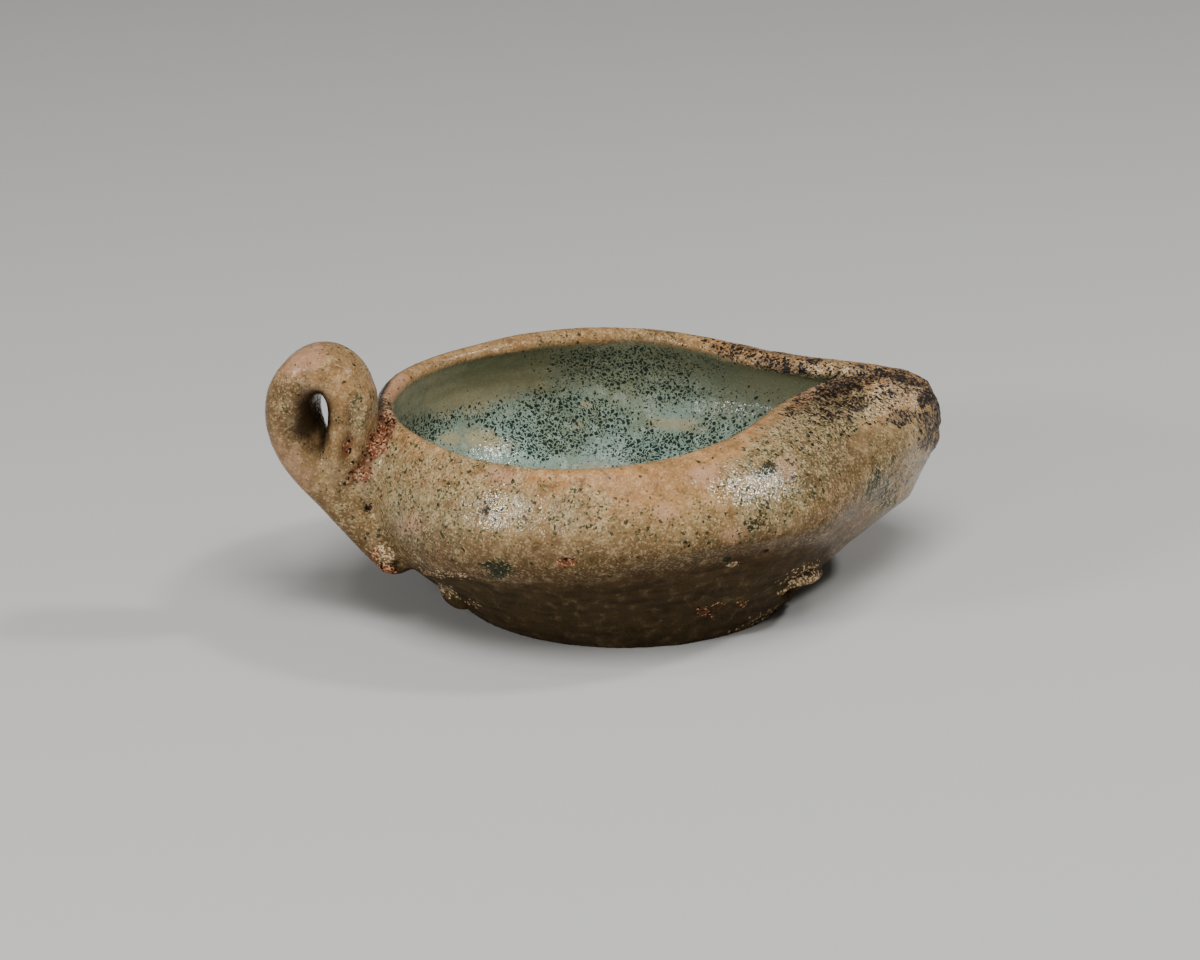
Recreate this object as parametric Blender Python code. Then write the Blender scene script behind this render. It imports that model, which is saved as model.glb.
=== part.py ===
"""Wheel-thrown earthenware oil lamp: an open bowl pinched to a spout, with a strap loop handle.

The whole lamp is one fired piece. +X runs from the bowl's centre to the spout, the handle is on
-X, +Z is up, and the flat base stands on z = 0.
"""
import math

import bmesh
import bpy
import numpy as np
from mathutils import Vector

MM = 0.001

# Bowl
BASE_RADIUS = 29.6 * MM
BASE_SHIFT = 1.8 * MM
KEEL_RADIUS = 42.4 * MM
BELLY_RADIUS = 45.4 * MM
RIM_RADIUS = 37.8 * MM
RIM_HEIGHT = 36.7 * MM
WALL = 4.0 * MM
BELLY_WALL = 5.3 * MM
FLOOR_THICKNESS = 4.0 * MM
FLOOR_RADIUS = 16.0 * MM
BOWL_ROUNDNESS = 0.54
BOWL_ROUND_FROM = 0.4
LIP_INSET = 2.0 * MM
LIP_DROP = 2.5 * MM

# Slant of the shoulder's section: 1 is a quarter of an oval, more is closer to a straight slope.
# It changes over this share of the way from the spout
SHOULDER_SLANT_SPOUT = 1.0
SHOULDER_SLANT_BOWL = 1.34
SHOULDER_SLANT_SPREAD = 0.45

# The rim's dip on the -Y side: its depth, and its middle and half its spread by bearing
RIM_DIP = 1.4 * MM
RIM_DIP_BEARING = math.radians(-140.0)
RIM_DIP_SPREAD = math.radians(85.0)

# Heights of the turn between the trimmed lower wall and the glazed shoulder, and of the widest
# line above it
KEEL_HEIGHT_HANDLE = 13.0 * MM
KEEL_HEIGHT_SIDE = 17.2 * MM
KEEL_HEIGHT_MIDDLE = 21.2 * MM
KEEL_HEIGHT_NECK = 17.4 * MM
KEEL_HEIGHT_SPOUT = 14.5 * MM
BELLY_HEIGHT_HANDLE = 22.0 * MM
BELLY_HEIGHT_SIDE = 24.0 * MM
BELLY_HEIGHT_SPOUT = 26.6 * MM
# The same heights at their shares of the way from the spout (0) to the handle (1)
KEEL_LINE = [
    (0.00, KEEL_HEIGHT_SPOUT), (0.30, KEEL_HEIGHT_NECK), (0.50, KEEL_HEIGHT_MIDDLE),
    (0.72, KEEL_HEIGHT_SIDE), (1.00, KEEL_HEIGHT_HANDLE),
]
BELLY_LINE = [
    (0.00, BELLY_HEIGHT_SPOUT), (0.35, BELLY_HEIGHT_SIDE), (0.60, BELLY_HEIGHT_SIDE),
    (1.00, BELLY_HEIGHT_HANDLE),
]

# Spout
SPOUT_REACH = 61.7 * MM
SPOUT_NOSE_RADIUS = 11.0 * MM
SPOUT_KEEL_REACH = 55.6 * MM
SPOUT_KEEL_RADIUS = 20.0 * MM
SPOUT_FLOOR_REACH = 29.0 * MM
SPOUT_FLOOR_RADIUS = 8.0 * MM
MOUTH_REACH = 53.8 * MM
SPOUT_LIP_HEIGHT = 35.9 * MM
SPOUT_TIP_HEIGHT = 34.5 * MM

# Crest of the rim seen from above: shares of the mouth's reach (ahead of the centre) or of the
# rim's radius (behind it), and of the rim's radius across; from the spout's end by the -Y side
RIM_PATH = [
    (1.000, 0.000), (0.930, -0.079), (0.818, -0.096), (0.706, -0.150), (0.594, -0.265),
    (0.483, -0.402), (0.372, -0.574), (0.261, -0.723), (0.152, -0.827), (0.045, -0.889),
    (-0.141, -0.927), (-0.344, -0.924), (-0.551, -0.866), (-0.732, -0.737), (-0.904, -0.512),
    (-1.016, -0.238), (-1.066, 0.053), (-1.010, 0.354), (-0.899, 0.561), (-0.741, 0.728),
    (-0.556, 0.841), (-0.344, 0.921), (-0.132, 0.976), (0.056, 0.997), (0.204, 0.974),
    (0.335, 0.894), (0.446, 0.749), (0.539, 0.556), (0.613, 0.384), (0.706, 0.228),
    (0.818, 0.132), (0.930, 0.085),
]

# The slit between the spout's lips: half its width at the crest as a share of the rim's radius,
# and where it starts and is fully formed as shares of the mouth's reach
SLIT_SHARE = 0.088
SLIT_START = 0.78
SLIT_FULL = 0.90

# Where the rim starts and ends its fall from the bowl to the spout's lips, and starts its fall
# to the spout's tip, as shares of the mouth's reach
LIP_FALL_START = 0.28
LIP_FALL_END = 0.78
TIP_FALL_START = 0.78

# Handle: a strap that leaves the lower wall, loops over and folds back onto its own tail
HANDLE_WIDTH = 11.2 * MM
HANDLE_THICKNESS = 7.2 * MM
HANDLE_SQUARENESS = 0.74
HANDLE_REACH = 20.0 * MM
HANDLE_HEIGHT = 48.0 * MM
HANDLE_ROOT_BURIED = 6.4 * MM
# The loop's plane is turned to the far side about an upright line at this share of the reach
HANDLE_TURN = math.radians(-36.0)
HANDLE_TURN_SHARE = 0.35
# Shares of the reach (from the root outward) and of the height, with the strap's size there
HANDLE_PATH = [
    (0.01, 0.247, 0.80), (0.14, 0.293, 0.84), (0.35, 0.385, 0.90), (0.60, 0.502, 0.98),
    (0.81, 0.600, 1.05), (0.94, 0.698, 1.08), (0.98, 0.805, 1.10), (0.91, 0.895, 1.10),
    (0.75, 0.953, 1.08), (0.57, 0.942, 1.04), (0.46, 0.876, 1.01), (0.43, 0.788, 1.00),
    (0.47, 0.681, 1.00), (0.58, 0.538, 0.88),
]

# Clay pressed between the loop and the wall
WEB_WIDTH = 6.6 * MM
WEB_DEPTH = 6.4 * MM
WEB_LENGTH = 17.0 * MM
WEB_SHARE = (0.30, 0.580)
WEB_ASIDE = 1.0 * MM

# Lumps and scars on the outside: place round the lamp (0 spout, 0.5 handle, back to 1 by +Y),
# level up the wall (0 base, 1 keel, 2 belly), length, height, stand-off, all sizes true
LUMPS = {
    "tail_end": (0.488, 0.97, 8.6 * MM, 6.6 * MM, 3.2 * MM),
    "glaze_run": (0.480, 0.32, 9.0 * MM, 4.5 * MM, 1.6 * MM),
    "kiln_scar": (0.194, 0.40, 13.0 * MM, 9.0 * MM, 1.9 * MM),
}
LUMP_UNEVENNESS = 0.16
LUMP_WAVES = (5.0, 4.0)

GLAZE_COLOUR = (0.42, 0.27, 0.15, 1.0)
GLAZE_ROUGHNESS = 0.38

AROUND = 84
STATION_EVENNESS = 1.3
LOWER_RINGS = 4
TURN_RINGS = 3
SHOULDER_RINGS = 7
LIP_RINGS = 3
INNER_RINGS = 8
CAP_SHARE = 0.85
HANDLE_STEPS = 4
HANDLE_SIDES = 16
NOSE_STEPS = 40
BOWL_STEPS = 120
WELD_DISTANCE = 0.02 * MM
SHARP_ANGLE = math.radians(38.0)


def clear_scene():
    """Remove the objects that the file holds."""
    for thing in list(bpy.data.objects):
        bpy.data.objects.remove(thing, do_unlink=True)


def smooth_step(value):
    """A share from 0 to 1 that leaves and arrives level."""
    share = np.clip(value, 0.0, 1.0)
    return share * share * (3.0 - 2.0 * share)


def along(path, shares):
    """Points at the given shares of an open path's length."""
    steps = np.linalg.norm(np.diff(path, axis=0), axis=1)
    run = np.concatenate([[0.0], np.cumsum(steps)])
    run /= run[-1]
    return np.stack([np.interp(shares, run, path[:, axis]) for axis in range(path.shape[1])], 1)


def closed_curve(points, per_span=24):
    """A smooth closed curve through the points, even in its bending (periodic cubic spline)."""
    points = np.array(points, float)
    count = len(points)
    ahead = np.roll(points, -1, axis=0)
    spans = np.linalg.norm(ahead - points, axis=1)
    before = np.roll(spans, 1)
    system = np.zeros((count, count))
    rows = np.arange(count)
    system[rows, rows] = 2.0 * (before + spans)
    system[rows, (rows - 1) % count] = before
    system[rows, (rows + 1) % count] = spans
    slopes = (ahead - points) / spans[:, None]
    bends = np.linalg.solve(system, 6.0 * (slopes - np.roll(slopes, 1, axis=0)))
    bends_ahead = np.roll(bends, -1, axis=0)
    pieces = []
    for share in np.arange(per_span) / per_span:
        rest = 1.0 - share
        chord = rest * points + share * ahead
        sag = ((rest ** 3 - rest) * bends + (share ** 3 - share) * bends_ahead) * spans[:, None] ** 2 / 6.0
        pieces.append(chord + sag)
    return np.stack(pieces, 1).reshape(-1, points.shape[1])


def stations():
    """Shares of the way from the spout's end (0) to the handle (1), closer together at the spout."""
    half = AROUND // 2
    return (np.arange(half + 1) / half) ** STATION_EVENNESS


def both_sides(half_path):
    """Close a path from the spout to the handle on -Y with its mirror image on +Y."""
    mirrored = half_path[-2:0:-1] * np.array([1.0, -1.0])
    return np.concatenate([half_path, mirrored])


def teardrop(radius, reach, nose_radius):
    """Circle joined by tangents to a smaller nose circle, seen from above."""
    nose_centre = reach - nose_radius
    tangent = math.acos(max(-1.0, min(1.0, (radius - nose_radius) / nose_centre)))
    nose_angles = np.linspace(0.0, tangent, NOSE_STEPS)
    bowl_angles = np.linspace(tangent, math.pi, BOWL_STEPS)
    nose = np.stack([nose_centre + nose_radius * np.cos(nose_angles), -nose_radius * np.sin(nose_angles)], 1)
    bowl = np.stack([radius * np.cos(bowl_angles), -radius * np.sin(bowl_angles)], 1)
    return both_sides(along(np.concatenate([nose, bowl]), stations()))


def base_circle(radius):
    """The foot's circle, its stations in step with the belly's."""
    belly = teardrop(BELLY_RADIUS, SPOUT_REACH, SPOUT_NOSE_RADIUS)[:AROUND // 2 + 1]
    bearings = np.arctan2(-belly[:, 1], belly[:, 0])
    bearings[-1] = math.pi
    bearings = (bearings + stations() * math.pi) / 2.0
    half = np.stack([BASE_SHIFT + radius * np.cos(bearings), -radius * np.sin(bearings)], 1)
    return both_sides(half)


def from_spout():
    """Share of the way from the spout (0) to the handle (1) at every station of a full ring."""
    half = stations()
    return np.concatenate([half, half[-2:0:-1]])


def graded(line):
    """Heights eased between a line's stops of (share from the spout, height)."""
    shares, heights = np.array(line).T
    place = from_spout()
    span = np.clip(np.searchsorted(shares, place, side="right") - 1, 0, len(shares) - 2)
    step = (place - shares[span]) / (shares[span + 1] - shares[span])
    return heights[span] + (heights[span + 1] - heights[span]) * smooth_step(step)


def rim_crest():
    """The rim's crest seen from above, at the rings' stations."""
    path = []
    for forward, across in RIM_PATH:
        reach = MOUTH_REACH if forward > 0.0 else RIM_RADIUS
        path.append((forward * reach, across * RIM_RADIUS))
    curve = closed_curve(path)
    turn = int(np.argmin(curve[:, 0]))
    near = along(curve[:turn + 1], stations())
    far = along(np.concatenate([curve[turn:], curve[:1]])[::-1], stations())
    return np.concatenate([near, far[-2:0:-1]])


def rim_dip(crest):
    """How far the rim sinks below level at each point of its crest."""
    turn = np.arctan2(crest[:, 1], crest[:, 0]) - RIM_DIP_BEARING
    away = np.abs((turn + math.pi) % (2.0 * math.pi) - math.pi)
    return RIM_DIP * smooth_step(1.0 - away / RIM_DIP_SPREAD)


def crest_heights(crest):
    """The rim is level round the bowl but for its dip, and falls a little to the spout's end."""
    ahead = crest[:, 0] / MOUTH_REACH
    to_lip = smooth_step((ahead - LIP_FALL_START) / (LIP_FALL_END - LIP_FALL_START))
    to_tip = smooth_step((ahead - TIP_FALL_START) / (1.0 - TIP_FALL_START))
    lip_fall = (RIM_HEIGHT - SPOUT_LIP_HEIGHT) * to_lip
    tip_fall = (SPOUT_LIP_HEIGHT - SPOUT_TIP_HEIGHT) * to_tip
    return RIM_HEIGHT - lip_fall - tip_fall - rim_dip(crest)


def shoulder_slant():
    """The exponent of the shoulder's section at every station of a full ring."""
    share = smooth_step(from_spout() / SHOULDER_SLANT_SPREAD)
    return SHOULDER_SLANT_SPOUT + (SHOULDER_SLANT_BOWL - SHOULDER_SLANT_SPOUT) * share


def shoulder_ring(lower, lower_z, upper, upper_z, angle):
    """A ring of the shoulder between its lowest and highest ring, by the angle of its section."""
    slant = shoulder_slant()
    inward = (1.0 - math.cos(angle) ** slant)[:, None]
    upward = math.sin(angle) ** slant
    return ring_at(lower + (upper - lower) * inward, lower_z + (upper_z - lower_z) * upward)


def moved_in(crest, distance):
    """The crest moved square to itself towards the inside, and narrowed evenly in the spout's slit."""
    ahead = np.roll(crest, -1, axis=0) - np.roll(crest, 1, axis=0)
    ahead /= np.linalg.norm(ahead, axis=1, keepdims=True)
    inward = np.stack([ahead[:, 1], -ahead[:, 0]], 1)
    moved = crest + inward * distance
    slit = crest * np.array([1.0, 1.0 - distance / (SLIT_SHARE * RIM_RADIUS)])
    slit[:, 0] -= distance
    in_slit = smooth_step((crest[:, 0] / MOUTH_REACH - SLIT_START) / (SLIT_FULL - SLIT_START))[:, None]
    return moved * (1.0 - in_slit) + slit * in_slit


def ring_at(plan, heights):
    return np.column_stack([plan, np.broadcast_to(heights, len(plan))])


def body_rings():
    """Rings from the base's edge up the outside, over the lip and down the inside to the floor."""
    base = base_circle(BASE_RADIUS)
    keel = teardrop(KEEL_RADIUS, SPOUT_KEEL_REACH, SPOUT_KEEL_RADIUS)
    belly = teardrop(BELLY_RADIUS, SPOUT_REACH, SPOUT_NOSE_RADIUS)
    crest = rim_crest()
    keel_z, belly_z, crest_z = graded(KEEL_LINE), graded(BELLY_LINE), crest_heights(crest)
    rings = []
    for step in range(LOWER_RINGS + 1):
        share = step / LOWER_RINGS
        rings.append(ring_at(base + (keel - base) * share, keel_z * share))
    for step in range(1, TURN_RINGS + 1):
        share = step / TURN_RINGS
        swell = math.sin(share * math.pi / 2.0)
        rings.append(ring_at(keel + (belly - keel) * swell, keel_z + (belly_z - keel_z) * share))
    for step in range(1, SHOULDER_RINGS + 1):
        angle = step / SHOULDER_RINGS * math.pi / 2.0
        rings.append(shoulder_ring(belly, belly_z, crest, crest_z, angle))
    for step in range(1, LIP_RINGS + 1):
        angle = step / LIP_RINGS * math.pi / 2.0
        drop = LIP_DROP * (1.0 - math.cos(angle))
        rings.append(ring_at(moved_in(crest, LIP_INSET * math.sin(angle)), crest_z - drop))
    inner_edge, inner_edge_z = rings[-1][:, :2], rings[-1][:, 2]
    inner_belly = teardrop(BELLY_RADIUS - BELLY_WALL, SPOUT_REACH - WALL, SPOUT_NOSE_RADIUS - WALL)
    floor = teardrop(FLOOR_RADIUS, SPOUT_FLOOR_REACH, SPOUT_FLOOR_RADIUS)
    for step in range(1, SHOULDER_RINGS):
        angle = (1.0 - step / (SHOULDER_RINGS - 1)) * math.pi / 2.0
        rings.append(shoulder_ring(inner_belly, belly_z, inner_edge, inner_edge_z, angle))
    roundness = BOWL_ROUNDNESS * smooth_step(from_spout() / BOWL_ROUND_FROM)[:, None]
    for step in range(1, INNER_RINGS + 1):
        share = 1.0 - step / INNER_RINGS
        outward = share + (math.sin(share * math.pi / 2.0) - share) * roundness
        upward = share + (1.0 - math.cos(share * math.pi / 2.0) - share) * roundness
        plan = floor + (inner_belly - floor) * outward
        rings.append(ring_at(plan, FLOOR_THICKNESS + (belly_z - FLOOR_THICKNESS) * upward[:, 0]))
    return rings


def loft(name, rings):
    """A closed mesh through the rings, with a flat cap inside its first and last ring."""
    caps = [rings[0] * CAP_SHARE, rings[-1] * CAP_SHARE]
    caps[1][:, 2] = rings[-1][:, 2]
    rings = [caps[0]] + rings + [caps[1]]
    mesh = bmesh.new()
    rows = [[mesh.verts.new(point) for point in ring] for ring in rings]
    for lower, upper in zip(rows[:-1], rows[1:]):
        for index in range(AROUND):
            after = (index + 1) % AROUND
            mesh.faces.new((lower[index], upper[index], upper[after], lower[after]))
    mesh.faces.new(rows[0])
    mesh.faces.new(reversed(rows[-1]))
    bmesh.ops.recalc_face_normals(mesh, faces=mesh.faces)
    data = bpy.data.meshes.new(name)
    mesh.to_mesh(data)
    mesh.free()
    return bpy.data.objects.new(name, data)


def outside_point(rings, place, level):
    """A point of the outer wall and its outward direction, by place round and level up the wall."""
    column = int(round(place * AROUND)) % AROUND
    row = level * LOWER_RINGS if level <= 1.0 else LOWER_RINGS + (level - 1.0) * TURN_RINGS
    lower = int(row)
    rest = row - lower
    point = rings[lower][column] * (1.0 - rest) + rings[lower + 1][column] * rest
    up = rings[lower + 1][column] - rings[lower][column]
    ahead = rings[lower][(column + 1) % AROUND] - rings[lower][column - 1]
    outward = np.cross(up, ahead)
    return Vector(point), Vector(outward).normalized(), Vector(up).normalized()


def lump(name, rings, place, level, length, height, stand_off):
    """A low rounded mound of clay or glaze, half sunk in the outer wall."""
    centre, outward, up = outside_point(rings, place, level)
    mesh = bmesh.new()
    bmesh.ops.create_icosphere(mesh, subdivisions=2, radius=1.0)
    side = up.cross(outward).normalized()
    for vertex in mesh.verts:
        wave = math.sin(LUMP_WAVES[0] * vertex.co.x) * math.cos(LUMP_WAVES[1] * vertex.co.y)
        local = vertex.co * (1.0 + LUMP_UNEVENNESS * wave)
        vertex.co = (centre + side * local.x * length / 2.0 + up * local.y * height / 2.0
                     + outward * local.z * stand_off)
    data = bpy.data.meshes.new(name)
    mesh.to_mesh(data)
    mesh.free()
    return bpy.data.objects.new(name, data)


def handle_root():
    return -(BELLY_RADIUS - HANDLE_ROOT_BURIED)


def handle_place(out, up):
    """A place in the handle's turned plane, by its shares of the reach and of the height."""
    line = handle_root() - HANDLE_TURN_SHARE * HANDLE_REACH
    inward = (HANDLE_TURN_SHARE - out) * HANDLE_REACH
    return Vector((line + inward * math.cos(HANDLE_TURN), inward * math.sin(HANDLE_TURN),
                   up * HANDLE_HEIGHT))


def squared(value):
    """A wave from -1 to 1 that lingers at its ends, which turns an oval's sides flatter."""
    return math.copysign(abs(value) ** HANDLE_SQUARENESS, value)


def strap_profile(width, thickness):
    """A closed curve of the strap's section, an oval with flattened sides, for a curve's bevel."""
    curve = bpy.data.curves.new("strap_section", "CURVE")
    curve.dimensions = "2D"
    spline = curve.splines.new("POLY")
    spline.points.add(HANDLE_SIDES - 1)
    spline.use_cyclic_u = True
    for index, point in enumerate(spline.points):
        angle = 2.0 * math.pi * index / HANDLE_SIDES
        across = width / 2.0 * squared(math.cos(angle))
        through = thickness / 2.0 * squared(math.sin(angle))
        point.co = (across, through, 0.0, 1.0)
    return bpy.data.objects.new("strap_section", curve)


def strap_handle(collection, cutters):
    """The handle's strap: a flattened oval section swept along its looped path."""
    section = strap_profile(HANDLE_WIDTH, HANDLE_THICKNESS)
    cutters.objects.link(section)
    curve = bpy.data.curves.new("strap", "CURVE")
    curve.dimensions = "3D"
    curve.twist_mode = "MINIMUM"
    curve.bevel_mode = "OBJECT"
    curve.bevel_object = section
    curve.use_fill_caps = True
    curve.resolution_u = HANDLE_STEPS
    curve.render_resolution_u = HANDLE_STEPS
    spline = curve.splines.new("BEZIER")
    spline.bezier_points.add(len(HANDLE_PATH) - 1)
    for point, (out, up, size) in zip(spline.bezier_points, HANDLE_PATH):
        point.co = handle_place(out, up)
        point.handle_left_type = "AUTO"
        point.handle_right_type = "AUTO"
        point.radius = size
    route = bpy.data.objects.new("strap_route", curve)
    collection.objects.link(route)
    bpy.context.view_layer.update()
    data = bpy.data.meshes.new_from_object(route.evaluated_get(bpy.context.evaluated_depsgraph_get()))
    placed = route.matrix_world.copy()
    mesh = bmesh.new()
    mesh.from_mesh(data)
    bmesh.ops.remove_doubles(mesh, verts=mesh.verts, dist=WELD_DISTANCE)
    bmesh.ops.recalc_face_normals(mesh, faces=mesh.faces)
    mesh.to_mesh(data)
    mesh.free()
    strap = bpy.data.objects.new("strap", data)
    strap.matrix_world = placed
    bpy.data.objects.remove(route, do_unlink=True)
    bpy.data.objects.remove(section, do_unlink=True)
    return strap


def web():
    """The clay that closes the gap between the loop's inner leg and the wall."""
    centre = handle_place(*WEB_SHARE) + Vector((0.0, WEB_ASIDE, 0.0))
    mesh = bmesh.new()
    bmesh.ops.create_icosphere(mesh, subdivisions=3, radius=1.0)
    for vertex in mesh.verts:
        size = Vector((WEB_DEPTH / 2.0, WEB_WIDTH / 2.0, WEB_LENGTH / 2.0))
        vertex.co = centre + vertex.co * size
    data = bpy.data.meshes.new("web")
    mesh.to_mesh(data)
    mesh.free()
    return bpy.data.objects.new("web", data)


def join_to(body, piece, cutters):
    """Fuse a piece into the body with an exact union."""
    cutters.objects.link(piece)
    piece.hide_render = True
    piece.display_type = "WIRE"
    union = body.modifiers.new(piece.name, "BOOLEAN")
    union.operation = "UNION"
    union.solver = "EXACT"
    union.use_self = True
    union.object = piece


def apply_modifiers(thing):
    """Replace a mesh with its evaluated form."""
    bpy.context.view_layer.update()
    data = bpy.data.meshes.new_from_object(thing.evaluated_get(bpy.context.evaluated_depsgraph_get()))
    thing.modifiers.clear()
    thing.data = data


def glazed_earthenware():
    """Tan lead glaze over buff clay."""
    material = bpy.data.materials.new("glazed_earthenware")
    material.use_nodes = True
    shader = material.node_tree.nodes["Principled BSDF"]
    shader.inputs["Base Color"].default_value = GLAZE_COLOUR
    shader.inputs["Roughness"].default_value = GLAZE_ROUGHNESS
    shader.inputs["Metallic"].default_value = 0.0
    material.diffuse_color = GLAZE_COLOUR
    return material


def build():
    clear_scene()
    collection = bpy.data.collections.new("earthenware_lamp")
    cutters = bpy.data.collections.new("joined_pieces")
    bpy.context.scene.collection.children.link(collection)
    bpy.context.scene.collection.children.link(cutters)
    rings = body_rings()
    lamp = loft("lamp", rings)
    collection.objects.link(lamp)
    pieces = [strap_handle(collection, cutters), web()]
    pieces += [lump(name, rings, *sizes) for name, sizes in LUMPS.items()]
    for piece in pieces:
        join_to(lamp, piece, cutters)
    apply_modifiers(lamp)
    for piece in pieces:
        bpy.data.objects.remove(piece, do_unlink=True)
    lamp.data.materials.clear()
    lamp.data.materials.append(glazed_earthenware())
    lamp.data.shade_smooth()
    lamp.data.set_sharp_from_angle(angle=SHARP_ANGLE)


build()
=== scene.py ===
"""The look of the glazed earthenware lamp: worn tan glaze outside, mottled blue-green glaze inside,
soot at the spout, bare clay in the breaks, on a plain pale floor under soft light.

Everything is in metres in the lamp's own frame: +X to the spout, +Z up, base on z = 0.
"""

import math
from collections import namedtuple

import bmesh
import bpy
import numpy as np
from mathutils import Matrix, Vector
from mathutils.bvhtree import BVHTree


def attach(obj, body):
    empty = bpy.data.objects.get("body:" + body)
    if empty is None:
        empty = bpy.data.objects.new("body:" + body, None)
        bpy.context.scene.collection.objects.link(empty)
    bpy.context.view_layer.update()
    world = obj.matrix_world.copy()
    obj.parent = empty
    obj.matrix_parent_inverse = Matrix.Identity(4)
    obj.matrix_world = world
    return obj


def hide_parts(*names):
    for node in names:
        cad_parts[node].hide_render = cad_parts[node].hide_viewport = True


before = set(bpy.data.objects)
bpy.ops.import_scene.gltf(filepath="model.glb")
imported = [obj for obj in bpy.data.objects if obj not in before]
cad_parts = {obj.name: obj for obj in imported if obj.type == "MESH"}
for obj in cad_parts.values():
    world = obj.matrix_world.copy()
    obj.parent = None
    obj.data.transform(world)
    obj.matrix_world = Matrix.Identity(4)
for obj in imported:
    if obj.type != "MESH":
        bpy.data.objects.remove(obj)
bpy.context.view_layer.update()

MM = 0.001

# Camera, as the photograph was taken
PHOTO_WIDTH = 1200
PHOTO_HEIGHT = 960
CAMERA_AZIMUTH = math.radians(-20.0)
CAMERA_ELEVATION = math.radians(19.5)
CAMERA_DISTANCE = 750.0 * MM
FOCAL_LENGTH_PX = 4213.0
BASE_CENTRE_PX = (614.0, 588.0)
SENSOR_WIDTH = 36.0
CAMERA_NEAR = 10.0 * MM

# Surface mesh: its cell size, the reach of the weld and of the flat base, the rounds and steps of
# softening, and the roughness from which the cells are split finer
COARSE_SIZE = 0.72 * MM
WELD_REACH = 0.01 * MM
BASE_REACH = 0.3 * COARSE_SIZE
SOFTEN_ROUNDS = 14
SOFTEN_STEPS = (0.60, -0.62)
HOLLOW_ROUNDS = 70
FINE_FROM = 0.35

# Relief of the thrown clay. Unevenness is given by the size of its features and their depth.
THROWN_RING_PITCH = 3.1 * MM
THROWN_RING_DEPTH = 0.05 * MM
THROWN_RING_SWAY = ((14.0 * MM, 0.8 * MM),)
THROWN_RINGS_BACK = -44.0 * MM
UNEVEN_CLAY = ((17.0 * MM, 0.30 * MM), (7.0 * MM, 0.10 * MM), (2.6 * MM, 0.035 * MM))
ROUGH_CRUST = ((2.4 * MM, 0.26 * MM), (1.1 * MM, 0.20 * MM), (0.55 * MM, 0.11 * MM))
GLAZE_EDGE_STEP = 0.12 * MM
RELIEF_FULL_FROM = 1.2 * MM

# Heights of the glaze's lower edge round the lamp, by bearing from the spout (0) to the handle (180)
GLAZE_EDGE = ((0.0, 6.0 * MM), (28.0, 8.0 * MM), (42.0, 14.0 * MM), (58.0, 19.0 * MM),
              (78.0, 20.8 * MM), (110.0, 18.6 * MM), (150.0, 15.0 * MM), (180.0, 13.0 * MM))
GLAZE_EDGE_RAGGED = ((9.0 * MM, 0.90 * MM), (3.0 * MM, 0.45 * MM))

# Bands by height over the glaze's lower edge, from nothing to full; the second is painted shade that
# darkens the glaze towards that edge
GLAZE_BLEND = (-2.6 * MM, 1.8 * MM)
SHADE_BAND_OVER_EDGE = (10.5 * MM, 0.0 * MM)

# Bands by height or by distance ahead of the bowl's centre, from nothing to full, and their strength
SOOT_AHEAD = (20.0 * MM, 44.0 * MM)
SOOT_HEIGHT = (31.0 * MM, 34.0 * MM)
SOOT_STRENGTH = 0.38
SOOT_UNEVEN = ((6.0 * MM, 0.35),)
SOOT_LESS_INSIDE = 0.75
SOOT_TIP_AHEAD = (55.0 * MM, 60.0 * MM)
SOOT_TIP_STRENGTH = 0.8
ORANGE_HEIGHT = (29.0 * MM, 35.0 * MM)
ORANGE_STRENGTH = 0.45
FLOOR_DASHES_HEIGHT = (18.0 * MM, 8.0 * MM)
FLOOR_DASHES_STRENGTH = 0.7

# Where flecks and dark marks gather in patches: the patches' size, and the share of the patchiness
# from which each of the two shows
PATCH_SIZE = 11.0 * MM
SCATTERED_FROM = (0.35, 0.85)
SCATTERED_STRENGTH = 0.30
FLOOR_DASHES_FROM = (0.25, 0.60)

# Height of the rim's inner edge, where the outer glaze gives way to the inner one, by distance
# ahead of the bowl's centre
INNER_EDGE = ((26.0 * MM, 34.1 * MM), (42.0 * MM, 33.2 * MM), (54.0 * MM, 31.8 * MM))
INNER_EDGE_SWAY = ((5.0 * MM, 0.5 * MM),)
INNER_EDGE_BLEND = 0.6 * MM

# The line over the bowl and spout that their inner surface looks towards, and how far back and down
# that surface reaches
INNER_LINE_AHEAD = (-5.0 * MM, 52.0 * MM)
INNER_LINE_HEIGHT = 36.0 * MM
INNER_FACING = (0.10, 0.35)
INNER_BACK = -42.5 * MM
INNER_BOTTOM = 2.0 * MM

# Painted shade on the inner side of the handle's loop, on surfaces that face its hole
# Middle of the hole in the handle's loop, and how far the loop's plane is turned from the lamp's
LOOP_CENTRE = np.array([-51.8 * MM, 4.2 * MM, 38.0 * MM])
LOOP_TURN = math.radians(-36.0)
LOOP_SHADE_REACH = (10.0 * MM, 5.5 * MM)
LOOP_SHADE_FACING = (0.10, 0.75)
LOOP_SHADE_STRENGTH = 0.95
LOOP_SHADE_UNEVEN = ((3.0 * MM, 0.2),)

# A mark's reach in its own half sizes and beyond them, and how ragged its outline is, by size of the
# features and share of the half sizes
MARK_REACH = 2.2
MARK_MARGIN = 3.0 * MM
MARK_RAGGED = ((2.2 * MM, 0.34), (0.9 * MM, 0.22))

# How softly a mark fades out at its outline, as a share of its half sizes
CRISP = 0.30
SOFT = 0.50
SOFTER = 0.60

# Seeds of the random unevenness; each further layer takes the next number
MARK_SEED = 5
INNER_EDGE_SEED = 11
GLAZE_EDGE_SEED = 21
PATCH_SEED = 31
SOOT_SEED = 41
CLAY_SEED = 50
RING_SEED = 61
CRUST_SEED = 70
LOOP_SEED = 81

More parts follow.
